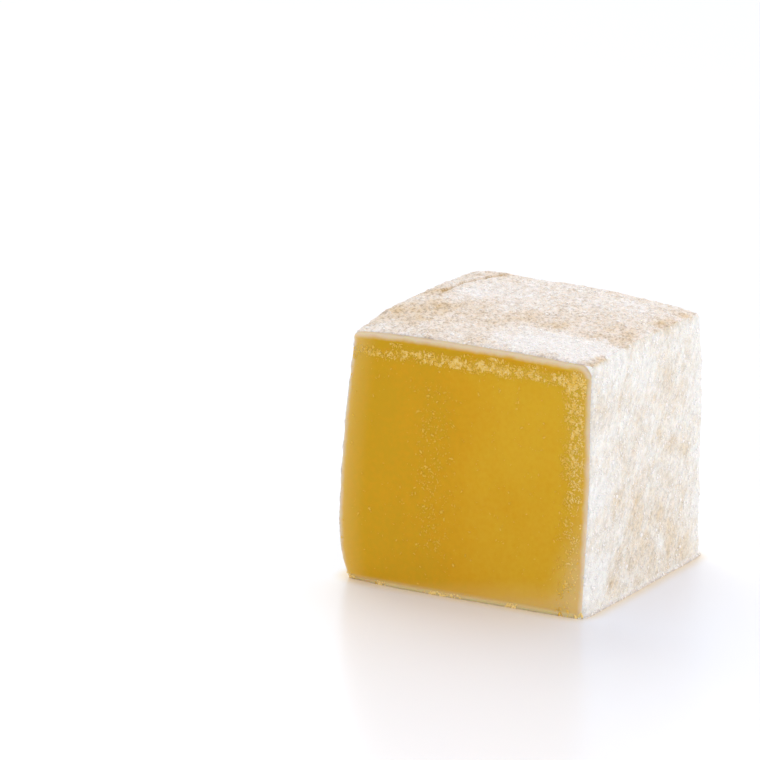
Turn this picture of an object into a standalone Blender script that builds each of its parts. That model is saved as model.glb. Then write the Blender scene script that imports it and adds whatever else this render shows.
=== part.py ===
"""A block of lokum (Turkish delight), in metres.

The block was cut from a slab of starch jelly. Its cut face looks to -Y, and the other faces
wear a skin of starch. +Z is up, and the origin is under the middle of the block.
"""

import bmesh
import bpy
from mathutils import Vector, noise

MM = 0.001

# The block as the knife left it
WIDTH = 26.0 * MM
DEPTH = 23.7 * MM
HEIGHT = 25.0 * MM

# How far the curve of each side's edges reaches in. The edge's radius is a little over half of it.
EDGE_REACH = {
    "left": 3.6 * MM,
    "right": 1.1 * MM,
    "front": 1.1 * MM,
    "back": 1.9 * MM,
    "under": 0.5 * MM,
    "top": 1.2 * MM,
}
LOOPS_BETWEEN = 3

# How far each corner strayed from the square block: (left or right, front or back, under or top)
CORNER_STRAY = {
    (-1, -1, -1): Vector((-1.4, -0.9, 0.0)) * MM,
    (1, -1, -1): Vector((-0.2, -0.2, 0.0)) * MM,
    (1, 1, -1): Vector((0.3, 0.2, 0.0)) * MM,
    (-1, 1, -1): Vector((-0.5, 0.1, 0.0)) * MM,
    (-1, -1, 1): Vector((0.1, 0.1, 0.1)) * MM,
    (1, -1, 1): Vector((0.7, 0.1, 0.0)) * MM,
    (1, 1, 1): Vector((0.1, 0.0, 0.0)) * MM,
    (-1, 1, 1): Vector((0.1, 0.5, 1.1)) * MM,
}

# How far each side bows out between its corners
SIDE_BOW = {
    "left": 0.6 * MM,
    "right": 0.05 * MM,
    "front": 0.15 * MM,
    "back": 0.2 * MM,
    "top": 0.5 * MM,
}

# How far the left side draws in under its lowest bulge, and how high that starts
LEFT_TUCK = 1.1 * MM
LEFT_TUCK_HEIGHT = 4.5 * MM

# Slow dents and swellings of the soft jelly, all over
DENT_SIZE = 9.0 * MM
DENT_DEPTH = 0.22 * MM
DENT_SEED = Vector((4.1, 7.7, 2.3))

# Lumps of the starched skin, on every side but the cut one and the underside
SKIN_LUMP_SIZE = 3.2 * MM
SKIN_LUMP_HEIGHT = 0.45 * MM

SMOOTHING_LEVELS = 2

CUT_FACE = "#CD9A26"
CUT_FACE_ROUGHNESS = 0.42


def linear(hex_colour):
    """An sRGB hex colour as the linear RGBA that a shader takes."""
    channels = [int(hex_colour[i : i + 2], 16) / 255 for i in (1, 3, 5)]
    return [c / 12.92 if c <= 0.04045 else ((c + 0.055) / 1.055) ** 2.4 for c in channels] + [1.0]


def clear_scene():
    for obj in list(bpy.data.objects):
        bpy.data.objects.remove(obj, do_unlink=True)


def loops_along(low, high, low_reach, high_reach):
    """Where the cage is cut along one axis: at both reaches and evenly between them."""
    first, last = low + low_reach, high - high_reach
    step = (last - first) / (LOOPS_BETWEEN + 1)
    return [first + step * i for i in range(LOOPS_BETWEEN + 2)]


def cut_cage(mesh):
    """Cuts the plain block into a cage of loops, close to the edges and even between them."""
    spans = (
        loops_along(-WIDTH / 2, WIDTH / 2, EDGE_REACH["left"], EDGE_REACH["right"]),
        loops_along(-DEPTH / 2, DEPTH / 2, EDGE_REACH["front"], EDGE_REACH["back"]),
        loops_along(0, HEIGHT, EDGE_REACH["under"], EDGE_REACH["top"]),
    )
    for axis, places in enumerate(spans):
        normal = Vector([1.0 if i == axis else 0.0 for i in range(3)])
        for place in places:
            everything = mesh.verts[:] + mesh.edges[:] + mesh.faces[:]
            bmesh.ops.bisect_plane(mesh, geom=everything, plane_co=normal * place, plane_no=normal)


def stray(u, v, w):
    """The corners' straying, shared out over the block. u, v and w run from -1 to 1."""
    moved = Vector((0, 0, 0))
    for (i, j, k), offset in CORNER_STRAY.items():
        moved += offset * (1 + i * u) * (1 + j * v) * (1 + k * w) / 8
    return moved


def bow(u, v, w):
    """How far the sides push a point out: nothing at the corners, and most between them."""
    out_x = SIDE_BOW["right"] if u > 0 else -SIDE_BOW["left"]
    out_y = SIDE_BOW["back"] if v > 0 else -SIDE_BOW["front"]
    out_z = SIDE_BOW["top"] if w > 0 else 0
    return Vector(
        (
            out_x * abs(u) * (1 - v * v * w * w),
            out_y * abs(v) * (1 - u * u * w * w),
            out_z * abs(w) * (1 - u * u * v * v),
        )
    )


def tuck(u, height):
    """How far the foot of the left side is drawn in: all the way at the outside, and less inwards."""
    outside = max(0.0, -u)
    low = max(0.0, 1 - height / LEFT_TUCK_HEIGHT)
    return Vector((LEFT_TUCK * outside * low * low, 0, 0))


def soften(mesh):
    """Moves the cage's points from the square block to the soft one. The underside stays flat."""
    for vert in mesh.verts:
        place = vert.co.copy()
        u, v, w = place.x / (WIDTH / 2), place.y / (DEPTH / 2), place.z / (HEIGHT / 2) - 1
        dent = noise.noise_vector(place / DENT_SIZE + DENT_SEED) * DENT_DEPTH
        if place.z < EDGE_REACH["under"] / 2:
            dent.z = 0
        vert.co = place + stray(u, v, w) + bow(u, v, w) + tuck(u, place.z) + dent


def skin_weight(place):
    """1 on the starched skin, and 0 on the cut face and the underside."""
    on_cut_face = place.y < -DEPTH / 2 + EDGE_REACH["front"] / 2
    on_underside = place.z < EDGE_REACH["under"] / 2
    return 0.0 if on_cut_face or on_underside else 1.0


def skin_lumps():
    texture = bpy.data.textures.new("skin_lumps", "CLOUDS")
    texture.noise_scale = SKIN_LUMP_SIZE
    texture.noise_depth = 1
    return texture


def jelly_material():
    material = bpy.data.materials.new("starch_jelly")
    material.use_nodes = True
    shader = material.node_tree.nodes["Principled BSDF"]
    shader.inputs["Base Color"].default_value = linear(CUT_FACE)
    shader.inputs["Roughness"].default_value = CUT_FACE_ROUGHNESS
    shader.inputs["Metallic"].default_value = 0.0
    return material


def lokum_block(collection):
    """The block: a cage cut from a cube, softened, smoothed and given its lumpy skin."""
    bpy.ops.mesh.primitive_cube_add(size=1, location=(0, 0, HEIGHT / 2), scale=(WIDTH, DEPTH, HEIGHT))
    block = bpy.context.object
    block.name = block.data.name = "lokum_block"
    bpy.ops.object.transform_apply(location=True, rotation=True, scale=True)

    mesh = bmesh.new()
    mesh.from_mesh(block.data)
    cut_cage(mesh)
    skin = block.vertex_groups.new(name="skin")
    weights = [skin_weight(vert.co) for vert in mesh.verts]
    soften(mesh)
    mesh.to_mesh(block.data)
    mesh.free()
    for index, weight in enumerate(weights):
        skin.add([index], weight, "REPLACE")

    smoothing = block.modifiers.new("smoothing", "SUBSURF")
    smoothing.levels = smoothing.render_levels = SMOOTHING_LEVELS
    lumps = block.modifiers.new("skin_lumps", "DISPLACE")
    lumps.texture = skin_lumps()
    lumps.texture_coords = "LOCAL"
    lumps.direction = "NORMAL"
    lumps.vertex_group = skin.name
    lumps.mid_level = 0.5
    lumps.strength = SKIN_LUMP_HEIGHT

    block.data.shade_smooth()
    block.data.materials.append(jelly_material())
    for owner in list(block.users_collection):
        owner.objects.unlink(block)
    collection.objects.link(block)
    return block


def stand_on_origin(block):
    """Sets the block down so that its box stands on the origin, by its middle."""
    bpy.context.view_layer.update()
    evaluated = block.evaluated_get(bpy.context.evaluated_depsgraph_get())
    corners = [vert.co for vert in evaluated.to_mesh().vertices]
    low = Vector([min(c[i] for c in corners) for i in range(3)])
    high = Vector([max(c[i] for c in corners) for i in range(3)])
    evaluated.to_mesh_clear()
    block.location = (-(low.x + high.x) / 2, -(low.y + high.y) / 2, -low.z)


def main():
    clear_scene()
    collection = bpy.data.collections.new("lokum")
    bpy.context.scene.collection.children.link(collection)
    stand_on_origin(lokum_block(collection))


main()
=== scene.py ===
"""The looks of a cut block of lokum (Turkish delight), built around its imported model.

The block stands on the origin with +Z up. Its cut face looks to -Y, and every other side wears
starch. Lengths are in metres, but names that end in _MM or _mm or start with from_ hold mm.
"""

import math

import bpy
import numpy as np
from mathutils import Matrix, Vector, noise


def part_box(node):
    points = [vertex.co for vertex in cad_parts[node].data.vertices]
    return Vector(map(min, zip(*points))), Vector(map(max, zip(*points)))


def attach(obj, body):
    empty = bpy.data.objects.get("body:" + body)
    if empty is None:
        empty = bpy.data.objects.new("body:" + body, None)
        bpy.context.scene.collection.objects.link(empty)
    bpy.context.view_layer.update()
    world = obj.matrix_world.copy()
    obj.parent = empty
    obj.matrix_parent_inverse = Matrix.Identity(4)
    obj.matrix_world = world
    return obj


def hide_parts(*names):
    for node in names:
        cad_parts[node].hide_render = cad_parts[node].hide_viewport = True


bl_info = {
    "name": "Lokum block",
    "version": (1, 0, 0),
    "blender": (4, 5, 0),
    "location": "View3D > Sidebar > Lokum",
    "description": "A cut block of lokum with its starch dusting, on a pale table",
    "category": "Add Mesh",
}

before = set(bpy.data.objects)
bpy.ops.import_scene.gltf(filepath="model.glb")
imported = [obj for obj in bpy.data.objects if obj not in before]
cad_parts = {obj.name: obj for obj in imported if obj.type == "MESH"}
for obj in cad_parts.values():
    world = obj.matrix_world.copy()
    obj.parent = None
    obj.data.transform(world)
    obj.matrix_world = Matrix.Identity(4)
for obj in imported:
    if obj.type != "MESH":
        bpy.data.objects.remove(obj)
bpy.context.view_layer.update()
NODE = "lokum_block"
LOW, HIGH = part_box(NODE)
MM = 0.001

# The photographed block shows these, in millimetres: place, reach of the patch, strength.
# A drift of starch is thicker than the rest, and a bare patch lets the jelly show through.
DRIFTS_MM = (
    ((4.5, -8.5, 25.5), 3.0, 0.35),
    ((7.6, -6.7, 25.4), 2.6, 0.45),
    ((10.7, -7.9, 25.2), 2.4, 0.70),
    ((13.6, -6.6, 25.0), 1.0, 0.25),
    ((-9.0, -10.5, 25.3), 2.2, 0.12),
    ((-4.6, -7.8, 25.4), 1.8, 0.12),
    ((-12.9, -1.9, 25.4), 1.4, 0.12),
    ((-8.6, 2.0, 25.7), 1.8, 0.10),
    ((-7.4, 4.6, 25.8), 3.0, 0.15),
    ((-3.0, 8.0, 25.8), 5.0, 0.11),
    ((6.5, 8.0, 25.5), 5.0, 0.10),
    ((13.3, -10.3, 3.0), 2.8, 0.50),
    ((13.2, -10.8, 12.0), 2.5, 0.30),
    ((13.3, -11.5, 17.7), 1.5, 0.20),
    ((13.4, 3.4, 3.6), 0.8, 0.22),
    ((13.4, -1.5, 21.7), 2.0, 0.15),
    # Partly painted light: these drifts brighten the back right edge, where the light from behind
    # falls
    ((13.4, 11.8, 22.0), 2.0, 0.30),
    ((13.4, 11.6, 17.0), 2.2, 0.45),
    ((13.4, 11.8, 11.0), 2.2, 0.40),
    ((13.4, 12.0, 5.0), 2.2, 0.35),
    ((-14.0, -8.0, 12.0), 4.0, 0.25),
    ((-6.0, 12.6, 8.0), 6.0, 0.30),
)
BARE_MM = (
    ((-8.5, -4.5, 25.4), 5.0, 0.29),
    ((-8.3, -2.2, 25.4), 1.6, 0.08),
    ((-7.8, -9.3, 25.3), 1.6, 0.16),
    ((-11.6, -4.8, 25.3), 1.3, 0.15),
    ((-6.9, -1.3, 25.5), 1.5, 0.08),
    ((-1.1, -3.9, 25.5), 1.6, 0.22),
    ((0.6, -1.6, 25.6), 1.9, 0.28),
    ((4.1, -2.4, 25.6), 1.8, 0.26),
    ((8.2, -3.7, 25.4), 1.8, 0.28),
    ((10.6, -1.0, 25.2), 2.0, 0.24),
    ((12.9, -4.0, 25.6), 1.2, 0.36),
    ((12.8, 4.2, 25.6), 1.4, 0.36),
    ((13.0, 9.3, 25.6), 0.9, 0.44),
    ((13.4, -11.5, 25.4), 0.8, 0.30),
    ((13.4, -9.3, 25.4), 0.7, 0.30),
    ((-8.8, 10.8, 25.8), 1.2, 0.12),
    ((-11.6, 1.6, 25.8), 1.5, 0.26),
    ((-10.7, 2.6, 26.0), 0.7, 0.35),
    ((13.4, 2.0, 4.0), 5.0, 0.10),
    ((13.4, -5.3, 4.4), 1.1, 0.26),
    ((13.4, -2.7, 3.2), 1.1, 0.26),
    ((13.4, -0.2, 4.4), 0.9, 0.28),
    ((13.4, 5.1, 4.4), 1.1, 0.28),
    ((13.4, 8.0, 1.8), 1.2, 0.30),
    ((13.4, -6.6, 2.2), 1.2, 0.25),
    ((13.4, 1.5, 1.8), 1.0, 0.22),
    ((13.4, 5.2, 2.1), 1.0, 0.22),
    ((13.4, 3.1, 6.2), 1.0, 0.20),
    ((13.4, -2.4, 6.8), 1.3, 0.22),
    ((13.4, -2.1, 9.4), 1.6, 0.20),
    ((13.4, -5.8, 10.0), 1.1, 0.22),
    ((13.4, 2.8, 14.5), 1.3, 0.24),
    ((13.4, 5.2, 13.1), 1.1, 0.26),
    ((13.4, 8.4, 11.8), 0.9, 0.22),
    ((13.4, 3.7, 19.5), 1.3, 0.20),
    ((13.4, 6.5, 18.2), 1.3, 0.12),
    ((13.4, -6.2, 20.7), 0.9, 0.22),
    ((13.4, -5.6, 22.3), 0.8, 0.12),
    ((-13.8, 4.0, 6.0), 4.5, 0.30),
    ((4.0, 12.6, 12.0), 4.5, 0.28),
)

# How thick the starch lies where there is neither: 0 is bare jelly, and 1 hides it
USUAL_DUST = 0.62

# The block's right side and its middle height. It is about twice as wide and high as this.
RIGHT_SIDE_MM = 13.0
MIDDLE_MM = 13.0

# The fold of starched skin beside the top's back left edge: its line, and its groove and ridge
FOLD_MM = ((-10.6, 2.6), (-10.5, 3.9), (-10.3, 5.8), (-9.8, 7.6), (-9.2, 9.3), (-8.4, 10.9))
GROOVE_HALF_WIDTH_MM = 0.22
GROOVE_DEPTH_MM = 0.16
RIDGE_WIDTH_MM = 1.3
RIDGE_HEIGHT_MM = 0.14

# Crumbs of starch along the foot of the cut face: the middle and the half length of each row
FOOT_CRUMBS_MM = ((-12.4, 0.5), (-8.9, 0.4), (-2.2, 1.7), (5.5, 0.5), (12.7, 0.6))

# The foot settles onto the table over this height
SETTLE_MM = 0.4

# It creeps out over the table: how far, and how high that starts. At its front left it draws in.
CREEP_MM = 0.26
CREEP_HEIGHT_MM = 0.55
DRAW_IN_MM = 0.15

# The cut face's low left edge bulges out over that foot, most of all at this height
BULGE_MM = 0.28
BULGE_AT_MM = 4.0

# The rims turn the cut face's upper right corner in a curve of this radius
RIM_CORNER_MM = 1.2

# Where the starch specks lie on the cut face: a band of them under its top, a strip along its
# right, and a faint upright streak left of its middle
BAND_DEPTH_MM = 1.9
BAND_SPREAD_MM = 0.40
STRIP_INSET_MM = 1.8
STRIP_SPREAD_MM = 0.75
STREAK_X_MM = -3.4
STREAK_SPREAD_MM = 1.6

# Lumps of the caked starch, of its grit, and of the waves that the knife left
CAKE_GRAIN_MM = 0.95
GRIT_GRAIN_MM = 0.42
DRAG_GRAIN_MM = 4.0

# A grain's two widths lie between these parts of its radius
ROUNDED = ((0.75, 1.3), (0.75, 1.3))

# Which way the wiped powder of the upright sides leans from the vertical, towards +Y
WIPE_LEAN = math.radians(-28)

# Which way the wiped powder of the top runs, from the Y axis towards -X
TOP_WIPE = math.radians(30)

# The plain box is cut into this many cells along each edge, and softened this many times
CELLS = 28
SOFTENED = 2

# A point of the plain box is on one of its sides from here on, in the box's own units of -1 to 1
SIDE = 1 - 1e-4

# The photograph's view: where its camera stood, which way it looked, and its frame in pixels
EYE = Vector((203.7, -372.2, 135.8)) * MM
AZIMUTH = math.radians(30.6)
ELEVATION = math.radians(15.4)
FOCAL_PX = 4500
FRAME_PX = 760

# The lights are turned to this point, and the table is this wide, in metres
AIM = Vector((0, 0, 12)) * MM
TABLE_SIZE = 6


def linear(hex_colour):
    """An sRGB hex colour as the linear RGB that Blender works in."""
    channels = [int(hex_colour[i : i + 2], 16) / 255 for i in (1, 3, 5)]
    return [c / 12.92 if c <= 0.04045 else ((c + 0.055) / 1.055) ** 2.4 for c in channels]


def rgba(colour):
    return (*colour, 1.0)


def length_prop(label, default_mm, description):
    return bpy.props.FloatProperty(
        name=label,
        description=description,
        default=default_mm * MM,
        min=0.0,
        unit="LENGTH",
        precision=5,
    )


def count_prop(label, default, description):
    return bpy.props.IntProperty(name=label, description=description, default=default, min=0)


def colour_prop(label, hex_colour, description):
    return bpy.props.FloatVectorProperty(
        name=label,
        description=description,
        default=linear(hex_colour),
        size=3,
        min=0.0,
        max=1.0,
        subtype="COLOR",
    )


class LokumSizes(bpy.types.PropertyGroup):
    rim: length_prop("Rim", 0.62, "Height of the pale rim along the top of the cut face")
    lip: length_prop("Lip", 0.12, "How far that rim stands proud of the cut face")
    cake: length_prop("Caked starch", 0.24, "Height of the starch's lumps")
    grit: length_prop("Grit", 0.14, "Height of the starch's finer grit")
    drag: length_prop("Knife drag", 0.10, "Height of the waves that the knife left in the cut face")
    grain: length_prop("Grain", 0.070, "Usual radius of a grain of starch")
    clump: length_prop("Clump", 0.13, "Usual radius of a clump of starch")
    speck: length_prop("Speck", 0.053, "Usual radius of a speck on the cut face")
    crumb: length_prop("Crumb", 0.085, "Usual radius of a crumb at the foot of the cut face")
    grains: count_prop("Grains", 16000, "How many grains lie on the skin")
    clumps: count_prop("Clumps", 2400, "How many clumps lie on the skin")
    skirt: count_prop("Skirt", 420, "How many crumbs lie along the foot of the right side")
    specks: count_prop("Specks", 8200, "How many specks lie on the cut face")
    crumbs: count_prop("Crumbs", 180, "How many crumbs lie at the foot of the cut face")


class LokumColours(bpy.types.PropertyGroup):
    # Painted light: these run from jelly that little light comes through to jelly lit through
    jelly_deep: colour_prop("Deep jelly", "#D6A621", "The cut jelly, where it is deepest")
    jelly: colour_prop("Jelly", "#DEA721", "The cut jelly's usual colour")
    jelly_light: colour_prop("Light jelly", "#E3B42D", "The cut jelly, where light comes through")
    # Painted light: the jelly is painted this pale near its edges, where light comes through them
    jelly_pale: colour_prop("Pale jelly", "#E9C062", "The cut jelly near its edges")
    # Partly painted light: the rim is the skin's pale edge and light through the cut's rounded
    # edges
    rim: colour_prop("Rim", "#E9D5B4", "The pale rim of the cut")
    # Painted light: the cut jelly's foot is painted this bright, for light the table sends back
    # into it
    foot_glow: colour_prop("Wet foot", "#FFE2A6", "The cut jelly's foot, lit again by the table")
    # Painted shadow: a thin darker line where the starch crust above the rim ends
    seam: colour_prop("Seam", "#D0BB96", "The thin seam between that rim and the starch above it")
    starch: colour_prop("Starch", "#FBF8F4", "Thick starch")
    starch_thin: colour_prop("Thin starch", "#EEE1D1", "Starch that the jelly tints")
    starch_stained: colour_prop("Stained starch", "#E4CFB1", "Starch that syrup has soaked")
    stain: colour_prop("Stain", "#D7B787", "Jelly that shows through the starch")
    speck: colour_prop("Speck", "#F4C650", "Specks on the cut face")
    # Partly painted highlight: the brightest specks and crumbs stand for glints on moist starch
    speck_bright: colour_prop("Bright speck", "#FFE091", "The brightest specks and crumbs there")
    table: colour_prop("Table", "#F6F8FF", "The table top")
    # Painted shade and warm bounced light on the table around the block's foot
    foot_shade_and_bounce: colour_prop("Film", "#F1E2C9", "What the block has left on the table around its foot")


def sizes():
    return bpy.context.scene.lokum_sizes


def colours():
    return bpy.context.scene.lokum_colours


# Modelling helpers


def deselect_all():
    bpy.ops.object.select_all(action="DESELECT")


def apply_modifier(piece, kind, name, **settings):
    """Adds one modifier to a piece, sets it and applies it."""
    modifier = piece.modifiers.new(name, kind)
    for key, value in settings.items():
        setattr(modifier, key, value)
    bpy.context.view_layer.objects.active = piece
    bpy.ops.object.modifier_apply(modifier=modifier.name)


def displace(piece, name, weights, strength, mid_level=0, **settings):
    """Moves a piece's points outwards, or along one axis, by these weights."""
    group = piece.vertex_groups.new(name=name)
    for index in np.nonzero(weights > 0.001)[0]:
        group.add([int(index)], float(min(1.0, weights[index])), "REPLACE")
    settings |= {"vertex_group": name, "strength": strength, "mid_level": mid_level}
    apply_modifier(piece, "DISPLACE", name, **settings)
    piece.vertex_groups.clear()


def clouds(name, grain_mm, depth):
    texture = bpy.data.textures.new(name, "CLOUDS")
    texture.noise_scale = grain_mm * MM
    texture.noise_depth = depth
    return texture


def store(piece, name, values):
    """Stores one number for each point of a piece, for its material to read."""
    attribute = piece.data.attributes.new(name, "FLOAT", "POINT")
    attribute.data.foreach_set("value", np.asarray(values, np.float32))


def stored(piece, name):
    values = np.zeros(len(piece.data.vertices), np.float32)
    piece.data.attributes[name].data.foreach_get("value", values)
    return values


def points_of(piece):
    places = np.zeros(len(piece.data.vertices) * 3)
    piece.data.vertices.foreach_get("co", places)
    return places.reshape(-1, 3)


def smoothstep(low, high, values):
    t = np.clip((np.asarray(values, float) - low) / (high - low), 0, 1)
    return t * t * (3 - 2 * t)


def hump(values, middle, reach):
    """A soft round hump: 1 at its middle, and about a third at its reach."""
    return np.exp(-(((values - middle) / reach) ** 2))


def slow_noise(places_mm, scale_mm, shift):
    """Smooth noise from -1 to 1 at each place."""
    offset = Vector((shift, 2.3 * shift, -1.7 * shift))
    return np.array([noise.noise(Vector(place) / scale_mm + offset) for place in places_mm])


# Materials


def surface(name, roughness, ior, specular):
    """A new material with its node tree and its Principled shader."""
    material = bpy.data.materials.new(name)
    material.use_nodes = True
    tree = material.node_tree
    shader = tree.nodes["Principled BSDF"]
    shader.inputs["Roughness"].default_value = roughness
    shader.inputs["IOR"].default_value = ior
    shader.inputs["Specular IOR Level"].default_value = specular
    return material, tree, shader


def node(tree, kind, inputs=(), out=0, stops=(), **settings):
    """Adds a shader node and returns one of its outputs.

    inputs holds other nodes' outputs and plain values, in the order of the node's sockets or by
    their names or numbers. stops holds a colour ramp's positions and linear RGB colours.
    """
    made = tree.nodes.new("ShaderNode" + kind)
    for name, value in settings.items():
        setattr(made, name, value)
    for key, value in inputs.items() if isinstance(inputs, dict) else enumerate(inputs):
        socket = made.inputs[key]
        if isinstance(value, bpy.types.NodeSocket):
            tree.links.new(value, socket)
        else:
            socket.default_value = rgba(value) if socket.type == "RGBA" else value
    if stops:
        elements = made.color_ramp.elements
        while len(elements) < len(stops):
            elements.new(0.5)
        for element, (position, colour) in zip(elements, stops):
            element.position = position
            element.color = rgba(colour)
    return made.outputs[out]


def pattern(tree, size_mm, detail, stretch=(1, 1, 1), turn=(0, 0, 0)):
    """Noise about 0 on object coordinates: lumps of this size, drawn out and then turned."""
    place = {"Vector": node(tree, "TexCoord", out="Object"), "Rotation": turn, "Scale": stretch}
    place = node(tree, "Mapping", place, vector_type="TEXTURE")
    lumps = {"Vector": place, "Scale": 1 / (size_mm * MM), "Detail": detail}
    return node(tree, "Math", (node(tree, "TexNoise", lumps, "Fac"), 0.5), operation="SUBTRACT")


def wiped_pattern(tree, upright, size_mm, detail, drawn_out):
    """Such noise, drawn out as the powder was wiped: one way on the top, one on the sides."""
    narrowed_mm = size_mm * 0.85  # so that the lumps cover as much as before they are drawn out
    flat = pattern(tree, narrowed_mm, detail, (1, 1.8, 1), (0, 0, TOP_WIPE))
    side = pattern(tree, narrowed_mm, detail, (1, 1, drawn_out), (WIPE_LEAN, 0, 0))
    return node(tree, "Mix", {0: upright, 2: flat, 3: side}, data_type="FLOAT")


def starch_colour(tree, cover):
    """Starch of this cover: bare jelly at 0, soaked and thin starch, and thick starch near 1."""
    tint = colours()
    stops = (
        (0.0, tint.stain),
        (0.22, tint.starch_stained),
        (0.52, tint.starch_thin),
        (0.9, tint.starch),
    )
    return node(tree, "ValToRGB", (cover,), "Color", stops)


def starch_skin():
    """Corn starch caked on starch jelly: a matte powder that the jelly tints where it is thin."""
    material, tree, shader = surface("corn_starch_on_jelly", roughness=0.9, ior=1.45, specular=0.15)
    upright = node(tree, "Attribute", out="Fac", attribute_name="upright")
    dust = node(tree, "Attribute", out="Fac", attribute_name="dust")
    # Mottling of 1.4 mm and clots of 0.6 mm change the cover. Lumps of 0.75 mm, grit of 0.4 mm and
    # powder of 0.2 mm are painted shade, as the hollows between real grains would cast it. Real
    # powder is finer than this, which is as fine as shows.
    mottling = wiped_pattern(tree, upright, 1.4, 1, 1.5)
    clots = wiped_pattern(tree, upright, 0.62, 0, 1.5)
    lumps = wiped_pattern(tree, upright, 0.75, 1, 1.6)
    grit = wiped_pattern(tree, upright, 0.42, 1, 1.3)
    powder = pattern(tree, 0.20, 0)

    cover = node(tree, "Math", (mottling, 0.50, dust), operation="MULTIPLY_ADD")
    cover = node(tree, "Math", (clots, 0.35, cover), operation="MULTIPLY_ADD")
    starch = starch_colour(tree, cover)

    # The painted hollow shade is deeper on the flat top than on the wiped sides, and where starch
    # is thin
    hollows = node(tree, "Math", (powder, 0.5), operation="MULTIPLY")
    hollows = node(tree, "Math", (grit, 0.75, hollows), operation="MULTIPLY_ADD")
    for spread in ((upright, 0, 1, 2.1, 0.95), (dust, 0.3, 1, 1.5, 0.42)):
        rough = node(tree, "MapRange", spread, interpolation_type="SMOOTHSTEP")
        hollows = node(tree, "Math", (hollows, rough), operation="MULTIPLY")
    rough = node(tree, "MapRange", (upright, 0, 1, 0.42, 0.60), interpolation_type="SMOOTHSTEP")
    hollows = node(tree, "Math", (lumps, rough, hollows), operation="MULTIPLY_ADD")
    openness = node(tree, "MapRange", (hollows, -0.6, 0.2))

    # The sides' starch is a little cooler than the top's, most of all in its painted hollow shade
    hollow_shade, raised = (
        node(tree, "Mix", {0: upright, 6: linear(on_top), 7: linear(on_side)}, 2, data_type="RGBA")
        for on_top, on_side in (("#CCC6C2", "#C2C6C6"), ("#FBFAFD", "#FCFFFC"))
    )
    shade = node(tree, "Mix", {0: openness, 6: hollow_shade, 7: raised}, 2, data_type="RGBA")
    shaded = {0: 1.0, 6: starch, 7: shade}
    colour = node(tree, "Mix", shaded, 2, data_type="RGBA", blend_type="MULTIPLY")

    relief = node(tree, "Math", (grit, 0.4), operation="MULTIPLY")
    relief = node(tree, "Math", (clots, 0.6, relief), operation="MULTIPLY_ADD")
    bump = node(tree, "Bump", {"Strength": 0.6, "Distance": 0.08 * MM, "Height": relief})
    tree.links.new(colour, shader.inputs["Base Color"])
    tree.links.new(bump, shader.inputs["Normal"])
    shader.inputs["Subsurface Weight"].default_value = 0.2
    shader.inputs["Subsurface Radius"].default_value = (1.0, 0.7, 0.45)
    shader.inputs["Subsurface Scale"].default_value = 0.3 * MM
    return material


def cut_jelly():
    """Starch jelly, freshly cut: a cloudy golden gel with a waxy skin, so light sinks in."""
    material, tree, shader = surface("cut_starch_jelly", roughness=0.5, ior=1.45, specular=0.05)
    tint = colours()
    from_top, from_foot, from_left, from_right, light, pale = (
        node(tree, "Attribute", out="Fac", attribute_name=name)
        for name in ("from_top", "from_foot", "from_left", "from_right", "light", "pale")
    )
    # Slow clouds of 5 mm in the gel, a faint mottling of 0.5 mm, and a wobble of 1.2 mm in the rims
    clouding = pattern(tree, 5.0, 2, (1, 1, 1.6))
    mottling = pattern(tree, 0.5, 2)
    wobble = pattern(tree, 1.2, 2)

    light = node(tree, "Math", (clouding, 0.9, light), operation="MULTIPLY_ADD")
    light = node(tree, "Math", (mottling, 0.9, light), operation="MULTIPLY_ADD")
    depths = ((0.0, tint.jelly_deep), (0.4, tint.jelly), (1.0, tint.jelly_light))
    body = node(tree, "ValToRGB", (light,), "Color", depths)
    # Painted light, with some pale dusting at the left: paler near the edges
    body = node(tree, "Mix", {0: pale, 6: body, 7: tint.jelly_pale}, 2, data_type="RGBA")

    # The rims: a straight one at the foot and wobbly ones along the other three edges
    # The rims are partly the starch skin's edge and partly painted light through the rounded jelly
    at_foot = node(tree, "MapRange", (from_foot, 0.0, 0.70, 0.7, 0.0))
    where_pale = node(tree, "MapRange", (pale, 0.5, 1.0, 0.0, 0.25))
    rim = node(tree, "Math", (at_foot, where_pale), operation="MAXIMUM")
    for inset, start, end, strength in (
        (from_top, 0.15, sizes().rim / MM + 0.15, 1.0),
        (from_left, 0.05, 0.60, 0.8),
        (from_right, 0.0, 0.66, 1.0),
    ):
        inset = node(tree, "Math", (wobble, 0.42, inset), operation="MULTIPLY_ADD")
        spread = (inset, start, end, strength, 0.0)
        along_edge = node(tree, "MapRange", spread, interpolation_type="SMOOTHSTEP")
        rim = node(tree, "Math", (rim, along_edge), operation="MAXIMUM")
    colour = node(tree, "Mix", {0: rim, 6: body, 7: tint.rim}, 2, data_type="RGBA")

    # Over them: painted foot light, a thin painted shadow under the starch, starch outside the
    # round corner
    seam_shadow_inset = node(tree, "Math", (wobble, 0.126, from_top), operation="MULTIPLY_ADD")
    for inset, start, end, strength, edge_tint in (
        (from_foot, 0.0, 0.45, 1.0, tint.foot_glow),
        (seam_shadow_inset, 0.02, 0.18, 0.55, tint.seam),
        (from_top, -0.12, 0.0, 1.0, tint.starch),
    ):
        spread = (inset, start, end, strength, 0.0)
        along_edge = node(tree, "MapRange", spread, interpolation_type="SMOOTHSTEP")
        colour = node(tree, "Mix", {0: along_edge, 6: colour, 7: edge_tint}, 2, data_type="RGBA")

    bump = node(tree, "Bump", {"Strength": 0.1, "Distance": 0.05 * MM, "Height": mottling})
    tree.links.new(colour, shader.inputs["Base Color"])
    tree.links.new(bump, shader.inputs["Normal"])
    shader.inputs["Subsurface Weight"].default_value = 0.5
    shader.inputs["Subsurface Radius"].default_value = (1.0, 0.6, 0.15)
    shader.inputs["Subsurface Scale"].default_value = 0.8 * MM
    return material


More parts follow.
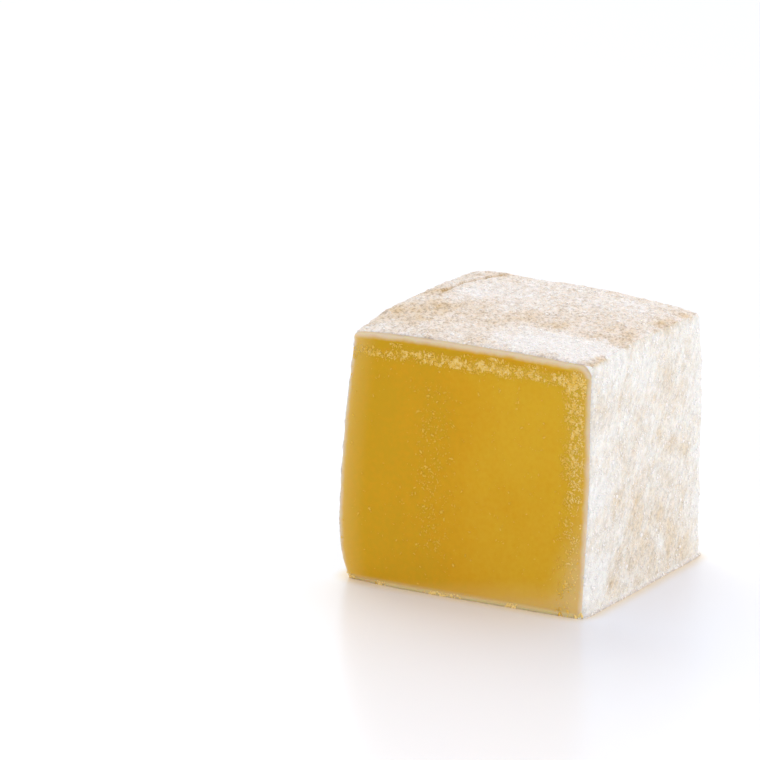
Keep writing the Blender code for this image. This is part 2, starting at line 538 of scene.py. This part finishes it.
def loose_starch():
    """Loose corn starch: matte clots of powder, tinted like the skin that they lie on but paler."""
    material, tree, shader = surface("loose_corn_starch", roughness=0.85, ior=1.45, specular=0.2)
    cover = node(tree, "Attribute", out="Fac", attribute_name="cover")
    tree.links.new(starch_colour(tree, cover), shader.inputs["Base Color"])
    return material


def syrupy_specks():
    """Starch that the knife dragged onto the moist cut: half soaked, so glossier and golden."""
    material, tree, shader = surface("syrup_soaked_starch", roughness=0.4, ior=1.47, specular=0.1)
    tint = colours()
    cover = node(tree, "Attribute", out="Fac", attribute_name="cover")
    stops = ((0.0, tint.jelly_light), (0.5, tint.speck), (1.0, tint.speck_bright))
    colour = node(tree, "ValToRGB", (cover,), "Color", stops)
    tree.links.new(colour, shader.inputs["Base Color"])
    return material


def white_acrylic():
    """Cast acrylic sheet: nearly white, with a soft sheen and a faint, blurred reflection."""
    material, tree, shader = surface("white_acrylic", roughness=0.25, ior=1.49, specular=0.35)
    tint = colours()
    # Painted shade and warm bounced light: the table turns warmer and darker close around the foot
    openness = node(tree, "AmbientOcclusion", {"Distance": 2.0 * MM}, "AO")
    spread = (openness, 0.5, 1.0, 1.0, 0.0)
    foot_shade_and_bounce = node(tree, "MapRange", spread, interpolation_type="SMOOTHSTEP")
    colour = node(tree, "Mix", {0: foot_shade_and_bounce, 6: tint.table, 7: tint.foot_shade_and_bounce}, 2, data_type="RGBA")
    tree.links.new(colour, shader.inputs["Base Color"])
    return material


# The block


def plain_box(name, margin):
    """A cube cut into cells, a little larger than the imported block, and its points' homes.

    A point's home is its place in the cube, from -1 to 1 along each axis. It stays with the point
    through every later step, as an attribute.
    """
    middle = (LOW + HIGH) / 2
    extent = HIGH - LOW + Vector((margin, margin, margin)) * 2
    deselect_all()
    bpy.ops.mesh.primitive_cube_add(size=1, location=middle, scale=extent)
    piece = bpy.context.object
    piece.name = piece.data.name = name
    bpy.ops.object.transform_apply(location=True, rotation=True, scale=True)
    bpy.ops.object.mode_set(mode="EDIT")
    bpy.ops.mesh.select_all(action="SELECT")
    bpy.ops.mesh.subdivide(number_cuts=CELLS - 1)
    bpy.ops.object.mode_set(mode="OBJECT")
    home = 2 * (points_of(piece) - np.array(middle)) / np.array(extent)
    attribute = piece.data.attributes.new("home", "FLOAT_VECTOR", "POINT")
    attribute.data.foreach_set("vector", home.astype(np.float32).ravel())
    return piece


def homes_of(piece):
    values = np.zeros(len(piece.data.vertices) * 3, np.float32)
    piece.data.attributes["home"].data.foreach_get("vector", values)
    return values.reshape(-1, 3).astype(float)


def inset_from(edge, along, across, home, places, on_cut):
    """How far each point lies, in mm, from one edge of the cut face.

    edge is the home coordinate of that edge on the across axis, and along is the edge's own axis.
    """
    near_edge = on_cut & (np.abs(home[:, across] - edge) < 1 - SIDE)
    order = np.argsort(home[near_edge, along])
    knots = home[near_edge, along][order]
    levels = places[near_edge, across][order]
    return np.abs(places[:, across] - np.interp(home[:, along], knots, levels)) / MM


def patches(places_mm, spots):
    """The sum of soft round patches at the places listed."""
    total = np.zeros(len(places_mm))
    for middle, reach, strength in spots:
        total += strength * hump(np.linalg.norm(places_mm - np.array(middle), axis=1), 0, reach)
    return total


def fold_weights(places_mm):
    """The groove of the fold and the ridge outside it: 1 on their lines, down to 0 beside them."""
    nearest = np.full(len(places_mm), np.inf)
    outside = np.zeros(len(places_mm), bool)
    for start, end in zip(FOLD_MM, FOLD_MM[1:]):
        start, run = np.array(start), np.array(end) - np.array(start)
        offset = places_mm[:, :2] - start
        t = np.clip(offset @ run / (run @ run), 0, 1)
        distance = np.linalg.norm(offset - t[:, None] * run, axis=1)
        turned = (run[0] * offset[:, 1] - run[1] * offset[:, 0]) > 0
        outside = np.where(distance < nearest, turned, outside)
        nearest = np.minimum(nearest, distance)
    on_top = places_mm[:, 2] > HIGH.z / MM - 2.5
    groove = np.where(on_top, 1 - smoothstep(0.08, GROOVE_HALF_WIDTH_MM, nearest), 0.0)
    ridge = np.where(on_top & outside, 1 - smoothstep(0.1, RIDGE_WIDTH_MM, nearest), 0.0)
    return groove, ridge * (1 - groove)


def dust_on(places_mm, home, groove, depth_behind):
    """How thick the starch lies: drifts, bare patches, rubbed edges, and less in the fold."""
    dust = USUAL_DUST + patches(places_mm, DRIFTS_MM) - patches(places_mm, BARE_MM)
    to_edge = MIDDLE_MM * np.hypot(1 - home[:, 0], 1 - home[:, 2])
    rubbed = 0.10 + 0.32 * smoothstep(-0.1, 0.35, slow_noise(places_mm, 2.4, 6.6))
    dust -= rubbed * hump(to_edge, 0, 0.9)
    on_right = smoothstep(RIGHT_SIDE_MM - 0.3, RIGHT_SIDE_MM + 0.3, places_mm[:, 0])
    dust += 0.08 * on_right + 0.12 * slow_noise(places_mm, 2.6, 3.1)
    at_its_top = smoothstep(20, 24, places_mm[:, 2])
    # Partly painted light: more starch at the right side's foot keeps its contact shade pale
    at_its_foot = 1 - smoothstep(0.1, 0.6, places_mm[:, 2])
    dust += on_right * (0.10 * at_its_top + 0.25 * at_its_foot)
    return dust - 0.42 * groove - 0.22 * (1 - smoothstep(0.2, 0.9, depth_behind))


def speck_cover(places_mm, from_top, from_right):
    """How thick the specks lie on the cut face: a patchy band, and a strip along its right."""
    x_mm, z_mm = places_mm[:, 0], places_mm[:, 2]
    patchy = smoothstep(-0.30, 0.35, slow_noise(places_mm, 0.9, 5.5))
    band = hump(from_top, BAND_DEPTH_MM, BAND_SPREAD_MM) * (0.3 + smoothstep(-9, -1, x_mm))
    band *= 1 - 0.6 * smoothstep(9.5, 11.0, x_mm)
    thin_line = hump(from_top, 1.0, 0.16)
    band += 0.30 * thin_line * smoothstep(0.0, 0.3, slow_noise(places_mm, 2.2, 8.1))
    strip = hump(from_right, STRIP_INSET_MM, STRIP_SPREAD_MM)
    strip *= 0.12 + 0.62 * smoothstep(9, 22, z_mm)
    grazed = 0.18 * hump(from_right, 0.8, 0.35) * smoothstep(4, 20, z_mm)
    return (band + strip) * (0.28 + 0.8 * patchy) + grazed


def jelly_light(places_mm, from_top):
    """Painted light through the jelly: little at left, more at right, and a painted shadow under
    its lip.
    """
    rightward = smoothstep(-9, 11, places_mm[:, 0])
    upward = places_mm[:, 2] - MIDDLE_MM
    under_top = hump(from_top, 1.0, 0.35)
    return 0.15 + (0.75 + 0.012 * upward) * rightward - 0.5 * under_top


def jelly_paling(places_mm, from_top, from_foot, from_left, from_right):
    """How pale the cut jelly turns near its edges: a strip at the left, and wide at lower right."""
    # Mostly painted light through the jelly's edges, with some pale dusting at its left
    rightward = smoothstep(-10, 12, places_mm[:, 0])
    low = 1 - smoothstep(3, 12, places_mm[:, 2])
    left = 0.30 * (1 - smoothstep(1.2, 3.1, from_left))
    left += 0.35 * (1 - smoothstep(0.2, 1.7, from_left))
    corners = 0.35 * hump(from_left, 1.2, 0.9) * hump(from_top, 1.3, 0.7)
    corners += 0.45 * hump(from_right, 0.9, 0.8) * hump(from_top, 0.9, 0.8)
    right = (0.27 + 0.65 * low) * (1 - smoothstep(0.3, 1.8 + 2.6 * low, from_right))
    foot = (0.30 + 0.5 * rightward) * (1 - smoothstep(0.2, 0.9 + 2.9 * rightward, from_foot))
    under_specks = 0.28 * np.minimum(1, speck_cover(places_mm, from_top, from_right))
    return 1 - (1 - left) * (1 - corners) * (1 - right) * (1 - foot) * (1 - under_specks)


class LOKUM_OT_jelly_block(bpy.types.Operator):
    """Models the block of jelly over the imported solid, with its starched skin and its cut face"""

    bl_idname = "lokum.jelly_block"
    bl_label = "Jelly block"
    bl_options = {"REGISTER", "UNDO"}

    def execute(self, context):
        block = plain_box("jelly_block", margin=0.15 * MM)
        solid = {"target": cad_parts[NODE], "wrap_method": "NEAREST_SURFACEPOINT"}
        apply_modifier(block, "SHRINKWRAP", "fit", **solid)
        apply_modifier(block, "SUBSURF", "soften", levels=SOFTENED, render_levels=SOFTENED)

        home = homes_of(block)
        on_cut, on_foot = home[:, 1] < -SIDE, home[:, 2] < -SIDE
        depth_behind = (points_of(block)[:, 1] - LOW.y) / MM
        groove, ridge = fold_weights(points_of(block) / MM)
        self.raise_relief(block, home, on_cut, on_foot, groove, ridge)
        self.spread_foot(block, home)

        places = points_of(block)
        places_mm = places / MM
        insets = [
            inset_from(edge, along, across, home, places, on_cut)
            for edge, along, across in ((1, 0, 2), (-1, 0, 2), (-1, 2, 0), (1, 2, 0))
        ]
        insets[0], insets[3] = self.round_corner(insets[0], insets[3])
        for name, inset in zip(("top", "foot", "left", "right"), insets):
            store(block, "from_" + name, inset)
        store(block, "dust", dust_on(places_mm, home, groove, depth_behind))
        store(block, "upright", (np.abs(home[:, 2]) < SIDE) & ~on_cut)
        store(block, "light", jelly_light(places_mm, insets[0]))
        store(block, "pale", jelly_paling(places_mm, *insets))

        block.data.materials.append(starch_skin())
        block.data.materials.append(cut_jelly())
        block.data.shade_smooth()
        corners = faces_of(block)[3]
        cut_faces = on_cut[corners].all(axis=1)
        foot_faces = on_foot[corners].all(axis=1)
        block.data.polygons.foreach_set("material_index", cut_faces.astype(np.int32))
        block.data.polygons.foreach_set("use_smooth", ~foot_faces)
        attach(block, "root")
        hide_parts(NODE)
        return {"FINISHED"}

    def raise_relief(self, block, home, on_cut, on_foot, groove, ridge):
        """The starch's lumps, the knife's waves, the cut's lip and bulge, and the fold."""
        size = sizes()
        places = points_of(block)
        height = places[:, 2] / MM
        depth_behind = (places[:, 1] - LOW.y) / MM
        from_top = inset_from(1, 0, 2, home, places, on_cut)

        skin = np.where(on_cut | on_foot, 0, smoothstep(0.1, 0.7, depth_behind))
        skin *= smoothstep(0.0, 0.5, height)
        inside_cut = np.where(on_cut, smoothstep(0.3, 1.2, from_top), 0)
        inside_cut *= smoothstep(0.2, 1.5, height)
        lip = smoothstep(0.0, 0.25, from_top) * (1 - smoothstep(0.5, 0.85, from_top)) * on_cut
        bulge = hump(height, BULGE_AT_MM, BULGE_AT_MM) * smoothstep(0.0, 2.2, height)
        bulge *= 1 - smoothstep(0.5, 4.0, (places[:, 0] - LOW.x) / MM)
        bulge *= 1 - smoothstep(1.0, 7.0, depth_behind)

        for name, weights, strength, grain_mm, depth in (
            ("caked_starch", skin, size.cake, CAKE_GRAIN_MM, 2),
            ("starch_grit", skin, size.grit, GRIT_GRAIN_MM, 1),
            ("knife_drag", inside_cut, size.drag, DRAG_GRAIN_MM, 1),
        ):
            texture = clouds(name, grain_mm, depth)
            displace(block, name, weights, strength, mid_level=0.5, texture=texture)
        displace(block, "lip", lip, size.lip)
        displace(block, "bulge", bulge, -BULGE_MM * MM, direction="X")
        displace(block, "groove", groove, -GROOVE_DEPTH_MM * MM)
        displace(block, "ridge", ridge, RIDGE_HEIGHT_MM * MM)

    def spread_foot(self, block, home):
        """Settles the foot on the table, where each side creeps out, so that no gap is left."""
        on_foot = home[:, 2] < -SIDE
        lift = np.clip(points_of(block)[:, 2] / MM, 0, SETTLE_MM) / SETTLE_MM * on_foot
        displace(block, "settle", lift, -SETTLE_MM * MM, direction="Z")
        x_mm, y_mm = points_of(block)[:, :2].T / MM
        front_left = (1 - smoothstep(-12.5, -7.0, x_mm)) * (1 - smoothstep(-11.5, -8.5, y_mm))
        for axis, letter in ((0, "X"), (1, "Y")):
            for way, outermost in ((-1, LOW[axis] / MM), (1, HIGH[axis] / MM)):
                places_mm = points_of(block) / MM
                near = 1 - smoothstep(0, 2.0, way * (outermost - places_mm[:, axis]))
                near = np.where(way * home[:, axis] > SIDE, 1, near * on_foot)
                near *= 1 - smoothstep(0, CREEP_HEIGHT_MM, places_mm[:, 2])
                creep, draw_in = near * (1 - front_left), near * front_left
                displace(block, "creep", creep, way * CREEP_MM * MM, direction=letter)
                if way < 0:
                    displace(block, "draw_in", draw_in, DRAW_IN_MM * MM, direction=letter)

    def round_corner(self, from_top, from_right):
        """The insets from the top and the right, with the corner between them turned in a curve."""
        top_gap = np.maximum(0, RIM_CORNER_MM - from_top)
        right_gap = np.maximum(0, RIM_CORNER_MM - from_right)
        from_curve = np.where(
            (top_gap > 0) & (right_gap > 0), RIM_CORNER_MM - np.hypot(top_gap, right_gap), np.inf
        )
        return np.minimum(from_top, from_curve), np.minimum(from_right, from_curve)


# Loose starch


def kernel(kind):
    """The points and faces of one small primitive of radius 1: a six- or twenty-sided grain."""
    deselect_all()
    if kind == "six_sided":
        bpy.ops.mesh.primitive_cube_add(size=2 / math.sqrt(3))
    else:
        bpy.ops.mesh.primitive_ico_sphere_add(subdivisions=1, radius=1)
    primitive = bpy.context.object
    points = points_of(primitive)
    faces = np.array([list(face.vertices) for face in primitive.data.polygons])
    bpy.data.objects.remove(primitive, do_unlink=True)
    return points, faces


def strewn(
    name, kind, spots, radii, flatness, cover, material, seed, shape=ROUNDED, lean=(0, 0, 0)
):
    """Joins one squashed, turned copy of a grain at each spot into one piece.

    flatness and shape limit a copy's height and its two widths, as parts of its radius, and lean
    is the way that its second width tends to run.
    """
    draw = np.random.default_rng(seed)
    points, faces = kernel(kind)
    places, normals = spots
    count = len(places)
    aside = draw.normal(size=(count, 3)) + np.array(lean)
    first = np.cross(normals, aside)
    first /= np.linalg.norm(first, axis=1)[:, None]
    second = np.cross(normals, first)
    widths = radii[:, None] * np.stack([draw.uniform(*limits, count) for limits in shape], axis=1)
    height = radii * draw.uniform(*flatness, count)
    lumpy = points[None] * draw.uniform(0.8, 1.2, (count, len(points), 1))
    grown = (
        places[:, None]
        + lumpy[:, :, 0:1] * (first * widths[:, 0:1])[:, None]
        + lumpy[:, :, 1:2] * (second * widths[:, 1:2])[:, None]
        + lumpy[:, :, 2:3] * (normals * height[:, None])[:, None]
    )
    corners = faces[None] + len(points) * np.arange(count)[:, None, None]
    mesh = bpy.data.meshes.new(name)
    mesh.from_pydata(
        grown.reshape(-1, 3).tolist(), [], corners.reshape(-1, faces.shape[1]).tolist()
    )
    mesh.materials.append(material)
    piece = bpy.data.objects.new(name, mesh)
    bpy.context.scene.collection.objects.link(piece)
    store(piece, "cover", np.repeat(cover, len(points)))
    mesh.shade_smooth()
    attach(piece, "root")


def faces_of(block):
    """Each face's middle, normal, area, corner points and material number."""
    mesh = block.data
    count = len(mesh.polygons)
    middle, normal = np.zeros(count * 3), np.zeros(count * 3)
    area, slot = np.zeros(count), np.zeros(count, np.int32)
    corners = np.zeros(count * 4, np.int32)
    mesh.polygons.foreach_get("center", middle)
    mesh.polygons.foreach_get("normal", normal)
    mesh.polygons.foreach_get("area", area)
    mesh.polygons.foreach_get("material_index", slot)
    mesh.loops.foreach_get("vertex_index", corners)
    return middle.reshape(-1, 3), normal.reshape(-1, 3), area, corners.reshape(-1, 4), slot


def spots_on(block, weights, count, seed):
    """Random places on the block's faces, by these weights, with their normals and face numbers."""
    draw = np.random.default_rng(seed)
    _, normal, area, corners, _ = faces_of(block)
    share = weights * area
    chosen = draw.choice(len(area), count, p=share / share.sum())
    across, along = draw.uniform(size=(2, count, 1))
    corner = points_of(block)[corners[chosen]]
    near = corner[:, 0] * (1 - across) + corner[:, 1] * across
    far = corner[:, 3] * (1 - across) + corner[:, 2] * across
    return near * (1 - along) + far * along, normal[chosen], chosen


def radii_of(draw, usual, count, spread, least, most):
    """Random radii about the usual one, few of them far from it."""
    return usual * np.clip(draw.lognormal(0, spread, count), least, most)


class LOKUM_OT_starch_dusting(bpy.types.Operator):
    """Strews grains and clumps of starch over the block's skin, most where dust lies thick"""

    bl_idname = "lokum.starch_dusting"
    bl_label = "Starch dusting"
    bl_options = {"REGISTER", "UNDO"}

    def execute(self, context):
        size = sizes()
        block = bpy.data.objects["jelly_block"]
        middle, _, _, corners, slot = faces_of(block)
        x_mm, z_mm = middle[:, 0] / MM, middle[:, 2] / MM
        dust = stored(block, "dust")[corners].mean(axis=1)
        lifted = smoothstep(0.08, 0.25, z_mm)
        on_skin = np.where(slot == 0, lifted * np.clip(dust, 0.12, 1.2) ** 1.2, 0)
        right_skin = (slot == 0) & (x_mm > RIGHT_SIDE_MM - 1)
        at_foot = np.where(right_skin, 1 - smoothstep(0.15, 0.35, z_mm), 0)
        starch = loose_starch()
        for name, kind, weights, count, radius, seed in (
            ("starch_grains", "six_sided", on_skin, size.grains, size.grain, 11),
            ("starch_clumps", "twenty_sided", on_skin, size.clumps, size.clump, 12),
            ("starch_skirt", "twenty_sided", at_foot, size.skirt, size.clump * 0.7, 17),
        ):
            draw = np.random.default_rng(seed + 100)
            places, normals, chosen = spots_on(block, weights, count, seed)
            radii = radii_of(draw, radius, count, 0.3, 0.5, 1.9)
            cover = np.clip(dust[chosen] + draw.uniform(0.05, 0.35, count), 0, 1)
            places[:, 2] = np.maximum(places[:, 2], radii * 0.5)
            strewn(name, kind, (places, normals), radii, (0.3, 0.6), cover, starch, seed)
        return {"FINISHED"}


class LOKUM_OT_cut_specks(bpy.types.Operator):
    """Strews specks over the cut face, and crumbs along its foot"""

    bl_idname = "lokum.cut_specks"
    bl_label = "Cut face specks"
    bl_options = {"REGISTER", "UNDO"}

    def execute(self, context):
        size = sizes()
        block = bpy.data.objects["jelly_block"]
        middle, _, _, corners, slot = faces_of(block)
        x_mm, z_mm = middle[:, 0] / MM, middle[:, 2] / MM
        from_top = stored(block, "from_top")[corners].mean(axis=1)
        from_right = stored(block, "from_right")[corners].mean(axis=1)
        soaked = syrupy_specks()
        draw = np.random.default_rng(31)

        streak = 0.035 * hump(x_mm, STREAK_X_MM, STREAK_SPREAD_MM)
        streak *= smoothstep(3, 6, z_mm) * (1 - smoothstep(19, 22, z_mm))
        fine = 0.15 + 0.85 * smoothstep(-0.1, 0.25, slow_noise(middle / MM, 0.35, 2.9))
        thick = speck_cover(middle / MM, from_top, from_right) * fine
        weights = np.where(slot == 1, thick + streak * fine + 0.001, 0)
        weights *= smoothstep(0.7, 0.85, from_top) * smoothstep(0.45, 0.7, from_right)
        places, normals, chosen = spots_on(block, weights, size.specks, 13)
        radii = radii_of(draw, size.speck, size.specks, 0.45, 0.4, 2.6)
        near_rim = 1 - smoothstep(1.5, 2.5, from_right)
        # Specks are brighter where they lie thick, and near the right rim as painted highlights on
        # moist lumps
        bright = np.maximum(np.minimum(1, thick / 0.3), near_rim)[chosen]
        cover = (0.4 + 0.6 * draw.uniform(size=size.specks)) * (0.5 + 0.5 * bright)
        strewn(
            "cut_face_specks",
            "twenty_sided",
            (places, normals),
            radii,
            (0.25, 0.55),
            cover,
            soaked,
            seed=14,
            shape=((0.9, 2.1), (0.5, 0.95)),
            lean=(0.9, 0, -0.45),
        )

        rows = np.zeros(len(x_mm))
        for middle_mm, reach in FOOT_CRUMBS_MM:
            rows += np.exp(-(((x_mm - middle_mm) / reach) ** 4)) / math.sqrt(reach)
        weights = np.where(slot == 1, rows * (1 - smoothstep(0.2, 0.4, z_mm)), 0)
        places, normals, _ = spots_on(block, weights, size.crumbs, 15)
        places[:, 2] = np.maximum(places[:, 2], 0.05 * MM)
        radii = radii_of(draw, size.crumb, size.crumbs, 0.3, 0.5, 1.7)
        # Painted glints: the crumbs take the brightest speck colours
        cover = draw.uniform(0.9, 1.0, size.crumbs)
        spots = (places, normals)
        strewn("foot_crumbs", "twenty_sided", spots, radii, (0.4, 0.8), cover, soaked, seed=16)
        return {"FINISHED"}


# The stage


class LOKUM_OT_table_and_light(bpy.types.Operator):
    """Lays the pale table, hangs the soft lights and sets the photograph's camera"""

    bl_idname = "lokum.table_and_light"
    bl_label = "Table and light"
    bl_options = {"REGISTER", "UNDO"}

    def execute(self, context):
        self.lay_table()
        self.hang_lights(context.scene)
        self.set_camera(context.scene)
        return {"FINISHED"}

    def lay_table(self):
        deselect_all()
        bpy.ops.mesh.primitive_plane_add(size=TABLE_SIZE, location=(0, 0, 0))
        table = bpy.context.object
        table.name = table.data.name = "table_top"
        table.data.materials.append(white_acrylic())

    def hang_lights(self, scene):
        """A pale tent of light all round, a wide warm light behind the left, a fill at right."""
        world = bpy.data.worlds.new("light_tent")
        world.use_nodes = True
        background = world.node_tree.nodes["Background"]
        background.inputs["Color"].default_value = rgba(linear("#F7F9FF"))
        background.inputs["Strength"].default_value = 0.897
        scene.world = world
        # The warm light lays the soft shadow in front and to the right
        warm = {"energy": 1.0, "color": (1.0, 0.944, 0.746), "angle": math.radians(50)}
        fill = {"energy": 2.71, "color": (1.0, 0.855, 0.78), "size": 0.6}
        self.hang("back_light", "SUN", (-0.6, 0.6, 0.8), warm)
        self.hang("fill_right", "AREA", (0.9, 0.2, 0.25), fill)
        scene.view_settings.view_transform = "Standard"
        scene.view_settings.look = "None"

    def hang(self, name, kind, place, settings):
        """One light at its place, turned to the block."""
        light = bpy.data.lights.new(name, kind)
        for key, value in settings.items():
            setattr(light, key, value)
        lamp = bpy.data.objects.new(name, light)
        lamp.location = place
        lamp.rotation_euler = (AIM - lamp.location).to_track_quat("-Z", "Y").to_euler()
        bpy.context.scene.collection.objects.link(lamp)

    def set_camera(self, scene):
        lens = bpy.data.cameras.new("photo_view")
        lens.sensor_width = 36
        lens.lens = lens.sensor_width * FOCAL_PX / FRAME_PX
        lens.clip_start = 0.01
        lens.clip_end = 10
        camera = bpy.data.objects.new("photo_view", lens)
        level = math.cos(ELEVATION)
        backward = (math.sin(AZIMUTH) * level, -math.cos(AZIMUTH) * level, math.sin(ELEVATION))
        camera.location = EYE
        camera.rotation_euler = (-Vector(backward)).to_track_quat("-Z", "Y").to_euler()
        scene.collection.objects.link(camera)
        scene.camera = camera


class LOKUM_PT_panel(bpy.types.Panel):
    bl_label = "Lokum block"
    bl_idname = "LOKUM_PT_panel"
    bl_space_type = "VIEW_3D"
    bl_region_type = "UI"
    bl_category = "Lokum"

    def draw(self, context):
        layout = self.layout
        for group in (context.scene.lokum_sizes, context.scene.lokum_colours):
            box = layout.box()
            for name in group.bl_rna.properties.keys():
                if name not in ("rna_type", "name"):
                    box.prop(group, name)
        for step in STEPS:
            layout.operator(step.bl_idname)


STEPS = (
    LOKUM_OT_jelly_block,
    LOKUM_OT_starch_dusting,
    LOKUM_OT_cut_specks,
    LOKUM_OT_table_and_light,
)
CLASSES = (LokumSizes, LokumColours, *STEPS, LOKUM_PT_panel)


def register():
    for item in CLASSES:
        bpy.utils.register_class(item)
    bpy.types.Scene.lokum_sizes = bpy.props.PointerProperty(type=LokumSizes)
    bpy.types.Scene.lokum_colours = bpy.props.PointerProperty(type=LokumColours)


def unregister():
    del bpy.types.Scene.lokum_colours
    del bpy.types.Scene.lokum_sizes
    for item in reversed(CLASSES):
        bpy.utils.unregister_class(item)


def main():
    register()
    bpy.ops.lokum.jelly_block()
    bpy.ops.lokum.starch_dusting()
    bpy.ops.lokum.cut_specks()
    bpy.ops.lokum.table_and_light()


if __name__ == "__main__":
    main()
